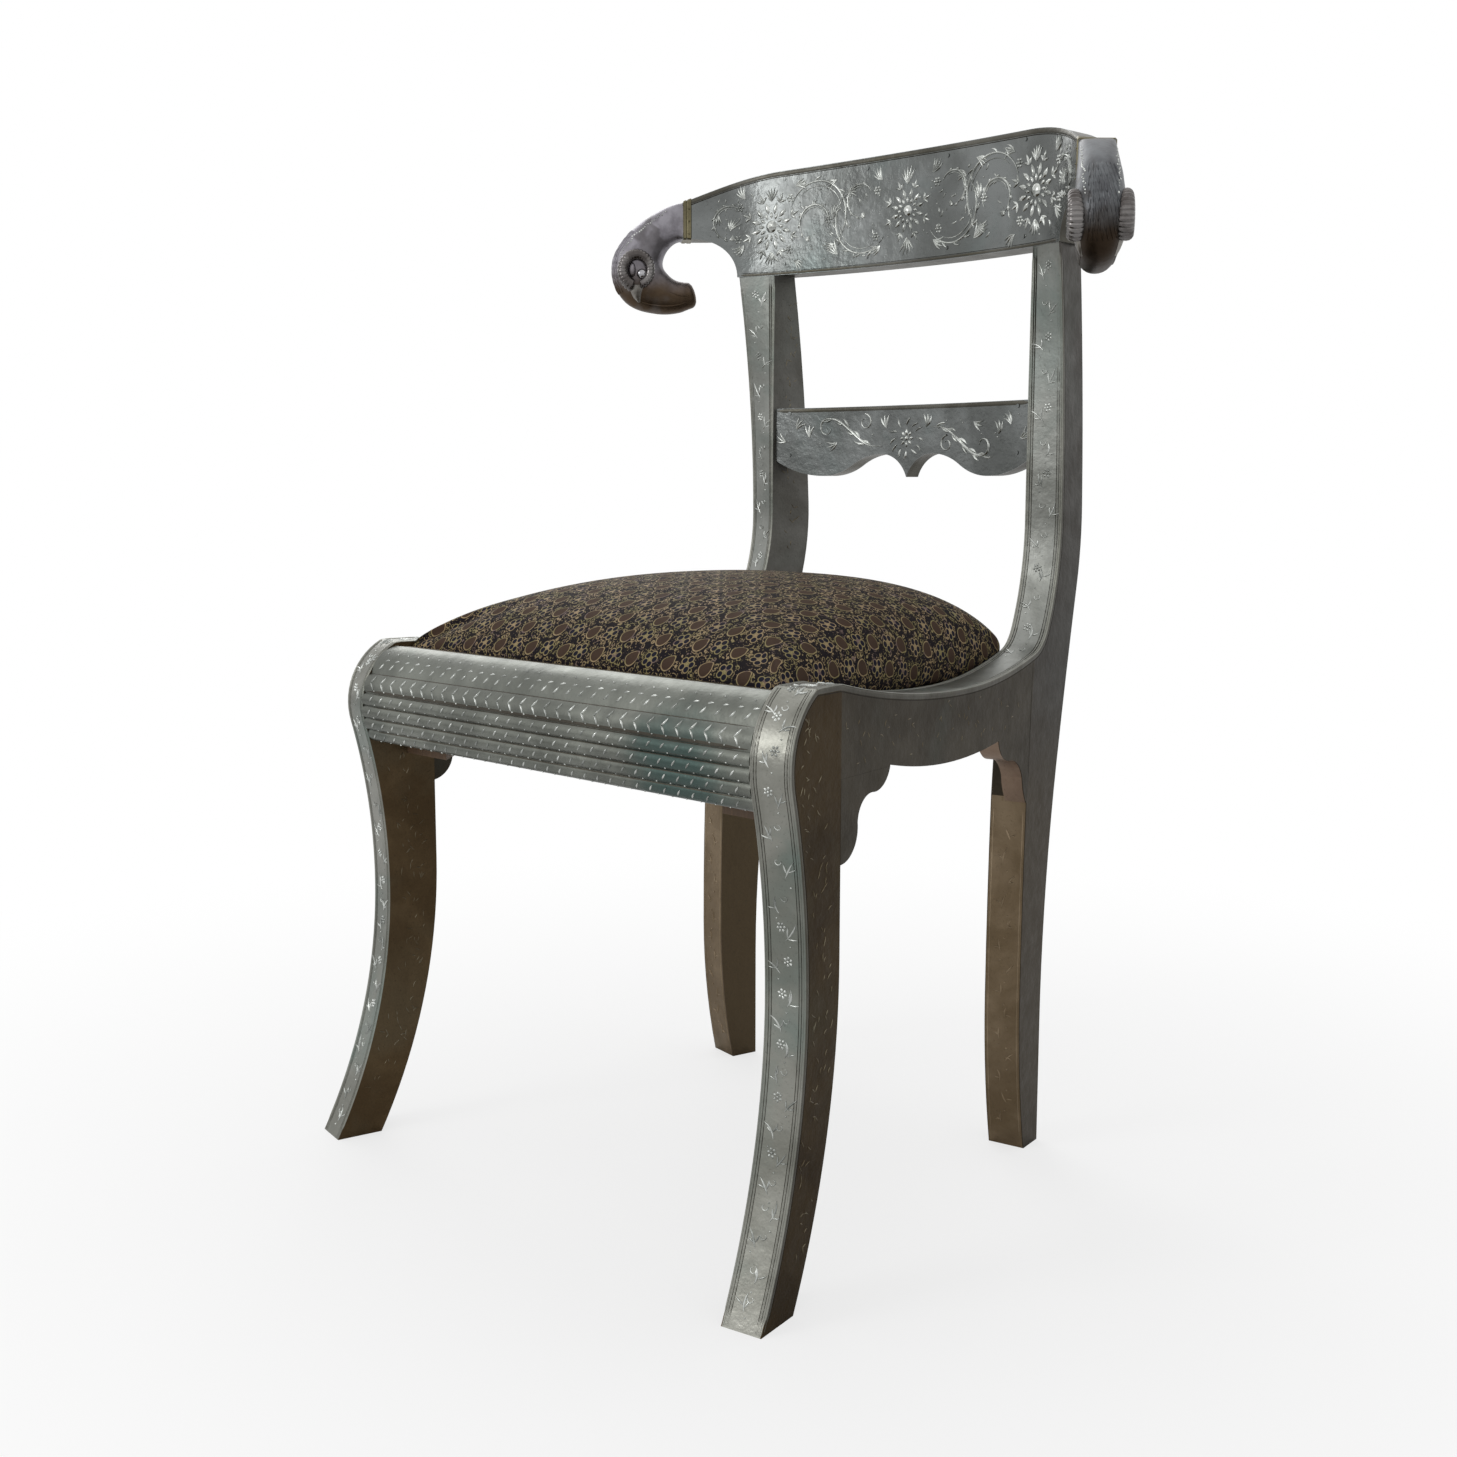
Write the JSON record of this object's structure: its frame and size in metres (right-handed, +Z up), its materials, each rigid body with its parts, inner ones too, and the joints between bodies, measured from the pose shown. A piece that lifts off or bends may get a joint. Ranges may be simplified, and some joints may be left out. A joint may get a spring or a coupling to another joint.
{
  "type": "dining chair",
  "caption": "Sabre-leg side chair clad in embossed silvery sheet metal, with ram's-head ends on the bowed crest rail and a domed brocade drop-in seat that lifts out.",
  "frame": {"origin": "on the floor, under the middle of the chair's bounding box", "axes": "+Z up, front of the chair faces -Y, +X to the viewer's right when the chair faces them"},
  "size_m": [0.6082, 0.5178, 0.8945],
  "materials": {
    "silver_sheet": "embossed, aged, satin",
    "cast_head": "cast and chased, aged",
    "wood_core": "sawn, covered",
    "steel_screw": "plain",
    "brocade": "woven brocade",
    "webbing": "woven jute",
    "dust_cloth": "plain weave"
  },
  "bodies": {
    "frame": {"back_dowels": "wood_core", "corner_block_screws": "steel_screw", "corner_blocks": "wood_core", "crest_back_plate": "silver_sheet", "crest_front_plate": "silver_sheet", "crest_rail": "wood_core", "cross_rail_dowels": "wood_core", "front_rail": "wood_core", "front_rail_reeded_cover": "silver_sheet", "head_dowels": "wood_core", "left_back_post": "wood_core", "left_front_bracket": "wood_core", "left_front_leg": "wood_core", "left_front_leg_front_strip": "silver_sheet", "left_front_leg_inner_sheet": "silver_sheet", "left_front_leg_outer_sheet": "silver_sheet", "left_horns": "cast_head", "left_post_inner_sheet": "silver_sheet", "left_post_outer_sheet": "silver_sheet", "left_rams_head": "cast_head", "left_rear_bracket": "wood_core", "left_rear_leg_front_strip": "silver_sheet", "left_side_rail": "wood_core", "left_side_rail_outer_sheet": "silver_sheet", "left_side_rail_top_strip": "silver_sheet", "left_stile_front_strip": "silver_sheet", "plate_pins": "silver_sheet", "rear_rail": "wood_core", "right_back_post": "wood_core", "right_front_bracket": "wood_core", "right_front_leg": "wood_core", "right_front_leg_front_strip": "silver_sheet", "right_front_leg_inner_sheet": "silver_sheet", "right_front_leg_outer_sheet": "silver_sheet", "right_horns": "cast_head", "right_post_inner_sheet": "silver_sheet", "right_post_outer_sheet": "silver_sheet", "right_rams_head": "cast_head", "right_rear_bracket": "wood_core", "right_rear_leg_front_strip": "silver_sheet", "right_side_rail": "wood_core", "right_side_rail_outer_sheet": "silver_sheet", "right_side_rail_top_strip": "silver_sheet", "right_stile_front_strip": "silver_sheet", "side_rail_dowels": "wood_core", "splat": "wood_core", "splat_back_plate": "silver_sheet", "splat_front_plate": "silver_sheet"},
    "drop_in_seat": {"seat_cushion": "brocade", "seat_dust_cover": "dust_cloth", "seat_frame_front": "wood_core", "seat_frame_left": "wood_core", "seat_frame_rear": "wood_core", "seat_frame_right": "wood_core", "seat_webbing_crosswise": "webbing", "seat_webbing_lengthwise": "webbing"}
  },
  "joints": [
    {"name": "seat_lift", "type": "slide", "parent": "frame", "child": "drop_in_seat", "axis": [0, 0, 1], "range_m": [0, 0.15]}
  ]
}
